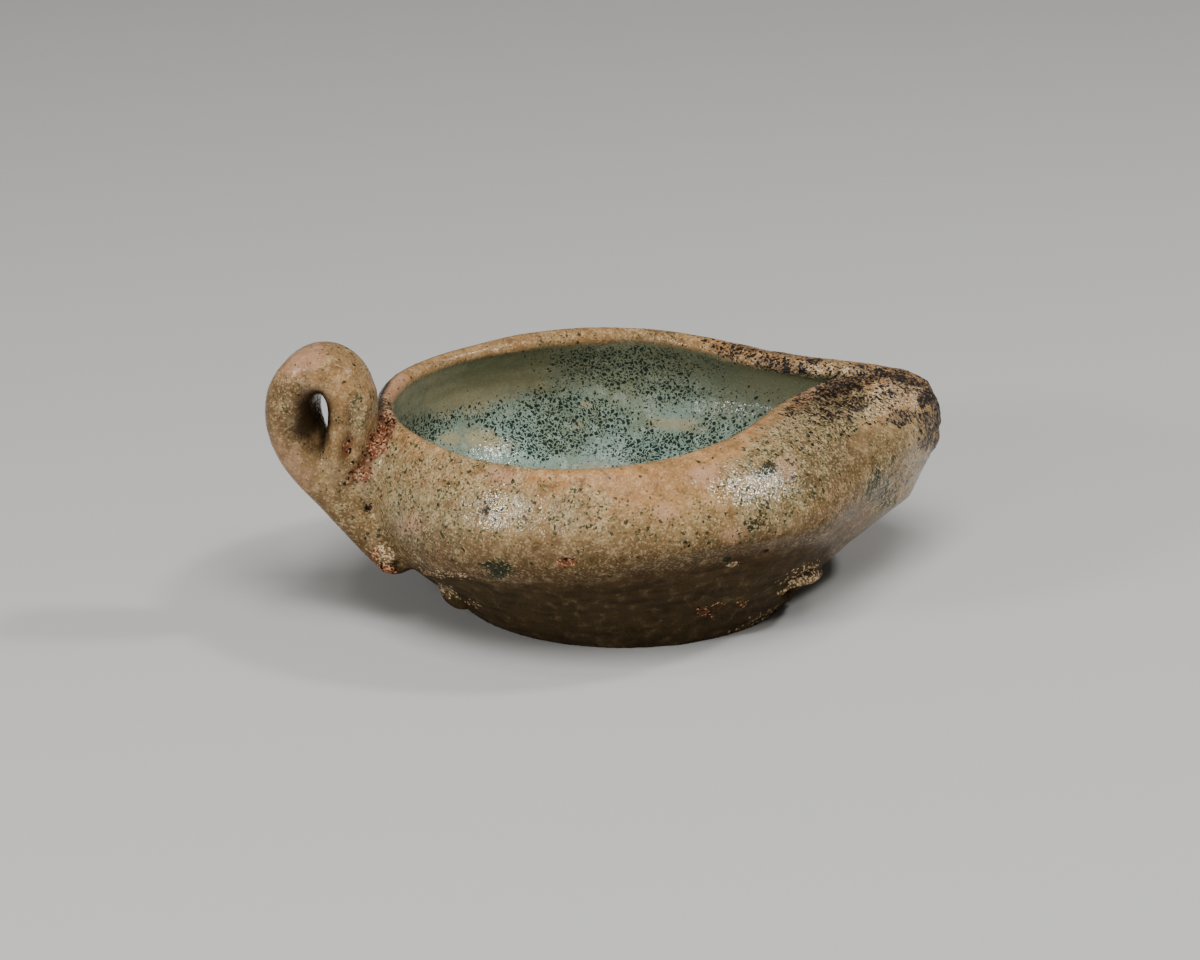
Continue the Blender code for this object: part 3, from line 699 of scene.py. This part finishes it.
class Shader:
    """A material's node tree, with short calls for the nodes that it uses."""

    def __init__(self, name):
        self.material = bpy.data.materials.new(name)
        self.material.use_nodes = True
        self.tree = self.material.node_tree
        self.surface = self.tree.nodes["Principled BSDF"]
        self.coords = self.tree.nodes.new("ShaderNodeTexCoord").outputs["Object"]

    def put(self, socket, value):
        """Link an output to a socket, or set a plain value on it."""
        if isinstance(value, bpy.types.NodeSocket):
            self.tree.links.new(value, socket)
        else:
            socket.default_value = value

    def field(self, name):
        """A mask that is stored on the mesh."""
        node = self.tree.nodes.new("ShaderNodeAttribute")
        node.attribute_name = name
        return node.outputs["Fac"]

    def math(self, operation, first, second, clamp=False):
        """Two values brought together by an operation."""
        node = self.tree.nodes.new("ShaderNodeMath")
        node.operation = operation
        node.use_clamp = clamp
        self.put(node.inputs[0], first)
        self.put(node.inputs[1], second)
        return node.outputs[0]

    def times(self, first, second):
        return self.math("MULTIPLY", first, second)

    def plus(self, first, second):
        return self.math("ADD", first, second)

    def height(self):
        """Height over the base."""
        node = self.tree.nodes.new("ShaderNodeSeparateXYZ")
        self.put(node.inputs[0], self.coords)
        return node.outputs["Z"]

    def ease(self, value, low, high, start=0.0, end=1.0):
        """Start where the value is low, end where it is high, eased between them."""
        node = self.tree.nodes.new("ShaderNodeMapRange")
        node.interpolation_type = "SMOOTHSTEP"
        self.put(node.inputs["Value"], value)
        self.put(node.inputs["From Min"], low)
        self.put(node.inputs["From Max"], high)
        self.put(node.inputs["To Min"], start)
        self.put(node.inputs["To Max"], end)
        return node.outputs["Result"]

    def mix(self, share, first, second):
        """The first colour, with that share of the second one."""
        node = self.tree.nodes.new("ShaderNodeMix")
        node.data_type = "RGBA"
        self.put(node.inputs["Factor"], share)
        colours = [socket for socket in node.inputs if socket.type == "RGBA"]
        self.put(colours[0], first)
        self.put(colours[1], second)
        return [socket for socket in node.outputs if socket.type == "RGBA"][0]

    def speckle(self, random, amount, colour, mark, strength=1.0):
        """The colour, with the mark on each cell whose random share is under the amount."""
        chosen = self.math("LESS_THAN", random, amount)
        return self.mix(self.times(chosen, strength), colour, mark)

    def blotched(self, name, blotch):
        """A mask that is stronger and weaker in blotches."""
        mask = self.field(name)
        return self.plus(mask, self.times(blotch, mask))

    def warped(self, size, amount):
        """Coordinates pushed about by smooth noise, so that cells on them bend and stretch."""
        noise = self.tree.nodes.new("ShaderNodeTexNoise")
        self.put(noise.inputs["Vector"], self.coords)
        self.put(noise.inputs["Scale"], 1.0 / size)
        push = self.tree.nodes.new("ShaderNodeVectorMath")
        push.operation = "MULTIPLY_ADD"
        self.put(push.inputs[0], noise.outputs["Color"])
        self.put(push.inputs[1], (amount, amount, amount))
        self.put(push.inputs[2], self.coords)
        return push.outputs[0]

    def noise(self, size, detail=3.0, coords=None):
        """Smooth noise from 0 to 1."""
        node = self.tree.nodes.new("ShaderNodeTexNoise")
        self.put(node.inputs["Vector"], coords or self.coords)
        self.put(node.inputs["Scale"], 1.0 / size)
        self.put(node.inputs["Detail"], detail)
        return node.outputs["Fac"]

    def cells(self, size, feature="F1", coords=None):
        """Random cells about as large as size."""
        node = self.tree.nodes.new("ShaderNodeTexVoronoi")
        node.feature = feature
        self.put(node.inputs["Vector"], coords or self.coords)
        self.put(node.inputs["Scale"], 1.0 / size)
        return node

    def grains(self, size, coords=None):
        """Cells as large as a crumb, with their random shares."""
        node = self.cells(size, coords=coords)
        apart = self.tree.nodes.new("ShaderNodeSeparateColor")
        self.put(apart.inputs[0], node.outputs["Color"])
        return Grains(*apart.outputs[:3], node.outputs["Distance"], node.outputs["Color"])

    def facets(self, normal, random, tilt):
        """The normal tilted at random in each cell, as tiny crystal faces are."""
        offset = self.vector("SUBTRACT", random, (0.5, 0.5, 0.5))
        push = self.tree.nodes.new("ShaderNodeVectorMath")
        push.operation = "SCALE"
        self.put(push.inputs[0], offset)
        self.put(push.inputs["Scale"], tilt)
        return self.vector("NORMALIZE", self.vector("ADD", normal, push.outputs[0]))

    def bump(self, height, depth, strength=1.0, normal=None):
        """The normal bent by fine relief."""
        node = self.tree.nodes.new("ShaderNodeBump")
        self.put(node.inputs["Height"], height)
        self.put(node.inputs["Distance"], depth)
        self.put(node.inputs["Strength"], strength)
        if normal is not None:
            self.put(node.inputs["Normal"], normal)
        return node.outputs["Normal"]

    def vector(self, operation, first, second=(0.0, 0.0, 0.0)):
        """Two directions or places brought together by an operation."""
        node = self.tree.nodes.new("ShaderNodeVectorMath")
        node.operation = operation
        self.put(node.inputs[0], first)
        self.put(node.inputs[1], second)
        return node.outputs[0]

    def scaled(self, value, low, high):
        """A share from 0 to 1 stretched to run from low to high."""
        return self.plus(self.times(value, high - low), low)


# Colours of the glaze, the bare clay, the crusts, the soot and the painted shade
TAN = tone(163, 133, 90)
TAN_DEEP = tone(147, 116, 76)
# Painted shade on the glaze towards the keel
TAN_PAINTED_SHADE = tone(86, 65, 40)
ORANGE_TAN = tone(184, 132, 82)
GREY_GREEN = tone(150, 138, 104)
BUFF = tone(222, 194, 148)
BROWN_GRAIN = tone(84, 60, 34)
# Bare clay: its brown is the clay's own, darkened as painted shade, the lower colour more than the upper
BARE_TOP = tone(80, 61, 39)
BARE_LOW = tone(64, 51, 32)
BARE_PALE = tone(92, 72, 46)
BARE_DEEP = tone(36, 27, 16)
PINK = tone(190, 146, 116)
FLECK_GREEN = tone(50, 64, 36)
FLECK_DARK = tone(30, 42, 28)
GLAZE_BLUE = tone(138, 160, 148)
GLAZE_GREY = tone(124, 136, 116)
GLAZE_PALE = tone(172, 190, 178)
GLAZE_OLIVE = tone(124, 119, 90)
CLEAR_TAN = tone(166, 152, 114)
DASH_DARK = tone(22, 40, 32)
SOOT_BLACK = tone(30, 24, 20)
SOOT_BROWN = tone(88, 66, 46)
CREAM = tone(210, 182, 144)
CREAM_DEEP = tone(150, 122, 86)
CLAY_RED = tone(126, 76, 50)
CLAY_DARK = tone(40, 24, 16)
CLAY_PALE = tone(196, 148, 112)
LOOP_SHADE = tone(44, 32, 19)
# Brown of the dirt and of the painted shade
GRIME_AND_SHADE = tone(96, 78, 54)


def outside_colour(s, fine, coarse):
    """Tan glaze, orange near the rim, grey-green where the flecks gather, darkened by painted shade
    towards its lower edge; bare clay below that edge, brown and darker towards the base as painted shade.
    """
    flecks = s.field("flecks")
    middle = s.noise(MOTTLE, 4)
    pale_grain = s.ease(fine.first, 0.62, 1.0)
    dark_grain = s.ease(fine.first, 0.38, 0.0)
    colour = s.mix(s.ease(s.noise(BROAD_MOTTLE), *NOISE_SPAN), TAN, TAN_DEEP)
    orange = s.times(s.field("orange"), s.ease(middle, 0.2, 0.6, 0.6, 1.0))
    colour = s.mix(orange, colour, ORANGE_TAN)
    greyed = s.times(s.ease(flecks, 0.0, 0.7), s.ease(middle, 0.30, 0.60, 0.25, 0.75))
    colour = s.mix(greyed, colour, GREY_GREEN)
    # Painted shade darkening the glaze towards the keel
    colour = s.mix(s.times(s.field("low"), 0.95), colour, TAN_PAINTED_SHADE)
    # Brown marks: dirt, and painted shade on shaded sides and in creases
    colour = s.mix(s.times(s.field("grime_and_shade"), 0.8), colour, GRIME_AND_SHADE)
    colour = s.mix(s.times(s.ease(middle, 0.52, 0.68), 0.20), colour, BUFF)
    colour = s.mix(s.times(s.ease(middle, 0.46, 0.32), 0.30), colour, BROWN_GRAIN)
    grainy = s.scaled(flecks, 0.30, 0.62)
    colour = s.mix(s.times(pale_grain, grainy), colour, BUFF)
    colour = s.mix(s.times(dark_grain, grainy), colour, BROWN_GRAIN)

    streak = s.noise(STREAKS, 4, s.vector("MULTIPLY", s.coords, STREAK_STRETCH))
    # Bare clay, darker towards the base as painted shade
    bare = s.mix(s.ease(s.height(), *BARE_HEIGHT), BARE_TOP, BARE_LOW)
    bare = s.mix(s.ease(streak, 0.42, 0.66, 0.0, 0.6), bare, BARE_DEEP)
    bare = s.mix(s.times(pale_grain, 0.16), bare, BARE_PALE)
    bare = s.mix(s.times(dark_grain, 0.25), bare, BARE_DEEP)
    ragged = s.plus(s.field("glazed"), s.scaled(middle, -0.7, 0.7))
    colour = s.mix(s.ease(ragged, -0.2, 1.2), bare, colour)
    colour = s.mix(s.times(s.field("pink"), s.ease(middle, 0.3, 0.6, 0.45, 0.85)), colour, PINK)

    clumps = s.ease(s.noise(CLUMPS), 0.36, 0.62, 0.25, 1.0)
    lush = s.plus(s.times(s.times(flecks, clumps), 0.36), 0.014)
    colour = s.speckle(fine.second, lush, colour, FLECK_GREEN, s.scaled(fine.third, 0.55, 1.0))
    colour = s.speckle(coarse.second, s.times(lush, 0.26), colour, FLECK_DARK, 0.85)
    return s.speckle(fine.third, s.ease(s.field("dark_green"), 0.1, 1.0), colour, FLECK_DARK, 0.92)


def inside_colour(s, fine):
    """Pale blue-green glaze with dark marks that crazed apart, olive and tan where it is thin."""
    clear = s.field("clear")
    dashes = s.field("dashes")
    middle = s.noise(MOTTLE_INSIDE, 4)
    colour = s.mix(s.ease(s.noise(BROAD_MOTTLE_INSIDE), *NOISE_SPAN), GLAZE_BLUE, GLAZE_GREY)
    colour = s.mix(s.ease(middle, 0.48, 0.68, 0.0, 0.6), colour, GLAZE_PALE)
    colour = s.mix(s.ease(s.height(), *OLIVE_HEIGHT, 0.0, 0.9), colour, GLAZE_OLIVE)
    colour = s.mix(s.times(clear, 0.85), colour, CLEAR_TAN)
    colour = s.mix(s.ease(fine.first, 0.6, 1.0, 0.0, 0.22), colour, GLAZE_PALE)
    colour = s.mix(s.ease(fine.first, 0.3, 0.0, 0.0, 0.25), colour, GLAZE_OLIVE)
    fill = s.math("SUBTRACT", s.times(dashes, 0.235), s.times(clear, 0.10))
    flow = s.warped(*DASH_WARP)
    for size, seam, start in DASH_LAYERS:
        blob = s.noise(size * 0.8, 1.5, flow)
        marked = s.ease(s.plus(blob, fill), start, start + 0.03)
        crazed = s.cells(size, "DISTANCE_TO_EDGE", flow)
        apart = s.ease(crazed.outputs["Distance"], seam * 0.6, seam * 1.6)
        colour = s.mix(s.times(s.times(marked, apart), 0.95), colour, DASH_DARK)
    return colour


def glaze_material():
    """The one material of the fired piece: glaze, crusts, soot and bare clay."""
    s = Shader("glazed_earthenware")
    inside = s.field("inside")
    bent = s.warped(*GRAIN_WARP)
    fine = s.grains(FINE_GRAIN, bent)
    coarse = s.grains(COARSE_GRAIN, bent)
    blotch = s.ease(s.noise(BLOTCHES, 4), *NOISE_SPAN, -0.35, 0.35)
    colour = s.mix(inside, outside_colour(s, fine, coarse), inside_colour(s, fine))

    clay = s.blotched("clay", blotch)
    colour = s.mix(s.ease(clay, 0.15, 0.75), colour, CLAY_RED)
    colour = s.speckle(coarse.third, s.times(clay, 0.42), colour, CLAY_DARK)
    colour = s.speckle(fine.second, s.times(clay, 0.28), colour, CLAY_PALE)

    cream = s.blotched("cream", blotch)
    colour = s.mix(s.ease(cream, 0.1, 1.0, 0.0, 0.70), colour, CREAM_DEEP)
    colour = s.speckle(fine.first, s.times(cream, 0.60), colour, CREAM)

    soot = s.blotched("soot", blotch)
    colour = s.mix(s.ease(soot, 0.10, 0.9, 0.0, 0.75), colour, SOOT_BROWN)
    colour = s.speckle(fine.third, s.times(soot, 0.66), colour, SOOT_BLACK)
    colour = s.speckle(coarse.first, s.times(soot, 0.34), colour, SOOT_BLACK)
    # Painted shade on the inner side of the handle's loop
    colour = s.mix(s.field("loop"), colour, LOOP_SHADE)
    s.put(s.surface.inputs["Base Color"], colour)

    rough = s.field("rough")
    glazed = s.field("glazed")
    roughness = s.ease(s.noise(SHINE_MOTTLE), *NOISE_SPAN, *GLAZE_ROUGHNESS)
    roughness = s.plus(roughness, s.ease(glazed, 0.0, 1.0, BARE_ADDS, 0.0))
    roughness = s.plus(roughness, s.times(inside, INSIDE_ADDS))
    roughness = s.math("ADD", roughness, s.times(rough, CRUST_ADDS), clamp=True)
    s.put(s.surface.inputs["Roughness"], roughness)

    mirror = s.ease(glazed, 0.0, 1.0, BARE_MIRROR, GLAZE_MIRROR)
    limits = (("low", 0.7, LOW_MIRROR), ("inside", 1.0, INSIDE_MIRROR), ("grime_and_shade", 0.6, GRIME_AND_SHADE_MIRROR))
    for name, full, least in limits:
        mirror = s.math("MINIMUM", mirror, s.ease(s.field(name), 0.0, full, GLAZE_MIRROR, least))
    s.put(s.surface.inputs["Specular IOR Level"], mirror)

    pores = s.plus(s.times(s.noise(PORES, 2), 0.7), s.times(fine.distance, -0.3))
    peel = s.bump(pores, PEEL_DEPTH, s.ease(inside, 0.0, 1.0, PEEL_STRENGTH, PEEL_STRENGTH_INSIDE))
    crumbs = s.plus(s.times(coarse.distance, -0.6), s.times(coarse.second, 0.25))
    crust = s.bump(s.times(crumbs, s.scaled(rough, *CRUMB_SHARE)), CRUMB_DEPTH, normal=peel)
    tilt = s.ease(inside, 0.0, 1.0, FACET_TILT, FACET_TILT_INSIDE)
    s.put(s.surface.inputs["Normal"], s.facets(crust, fine.colour, tilt))
    return s.material


def add_floor():
    """A plain pale floor that runs far past the view."""
    mesh = bmesh.new()
    bmesh.ops.create_grid(mesh, x_segments=1, y_segments=1, size=FLOOR_REACH)
    data = bpy.data.meshes.new("floor")
    mesh.to_mesh(data)
    mesh.free()
    floor = bpy.data.objects.new("floor", data)
    bpy.context.scene.collection.objects.link(floor)
    material = bpy.data.materials.new("pale_floor")
    material.use_nodes = True
    surface = material.node_tree.nodes["Principled BSDF"]
    surface.inputs["Base Color"].default_value = tone(*FLOOR_TONE)
    surface.inputs["Roughness"].default_value = FLOOR_ROUGHNESS
    data.materials.append(material)


def light_place(azimuth, elevation, distance):
    """A place by its bearing from +X, its height angle (degrees) and its distance."""
    bearing, rise = math.radians(azimuth), math.radians(elevation)
    level = math.cos(rise) * distance
    return level * math.cos(bearing), level * math.sin(bearing), math.sin(rise) * distance


def add_light(name, place, width, height, power, mirrored):
    """A soft oblong light that looks at the lamp."""
    data = bpy.data.lights.new(name, "AREA")
    data.shape = "RECTANGLE"
    data.size = width
    data.size_y = height
    data.energy = power
    light = bpy.data.objects.new(name, data)
    bpy.context.scene.collection.objects.link(light)
    light.location = place
    light.rotation_euler = (Vector(LIGHT_AIM) - Vector(place)).to_track_quat("-Z", "Y").to_euler()
    light.visible_glossy = mirrored


def add_lights():
    """The soft studio lights and the even light of the room."""
    for name, (azimuth, elevation, distance, width, height, power, mirrored) in LIGHTS.items():
        add_light(name, light_place(azimuth, elevation, distance), width, height, power, mirrored)
    world = bpy.data.worlds.new("soft_room")
    world.use_nodes = True
    background = world.node_tree.nodes["Background"]
    background.inputs["Color"].default_value = tone(*ROOM_TONE)
    background.inputs["Strength"].default_value = ROOM_STRENGTH
    bpy.context.scene.world = world


def build():
    """The dressed lamp, its floor, lights and camera."""
    add_camera()
    lamp = fine_copy(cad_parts["lamp"])
    soften(lamp.data, SOFTEN_ROUNDS)
    soften(lamp.data, HOLLOW_ROUNDS, SOFTEN_STEPS[:1], inward_share(*vertex_arrays(lamp.data)))
    tree = tree_of(lamp.data)
    fields = surface_fields(lamp.data, tree)
    refine(lamp.data, fields["rough"] > FINE_FROM)
    fields = surface_fields(lamp.data, tree)
    add_relief(lamp.data, tree, fields)
    store_fields(lamp.data, fields)
    lamp.data.shade_smooth()
    lamp.data.materials.clear()
    lamp.data.materials.append(glaze_material())
    print("triangles:", sum(len(face.vertices) - 2 for face in lamp.data.polygons))
    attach(lamp, "root")
    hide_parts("lamp")
    add_floor()
    add_lights()


build()
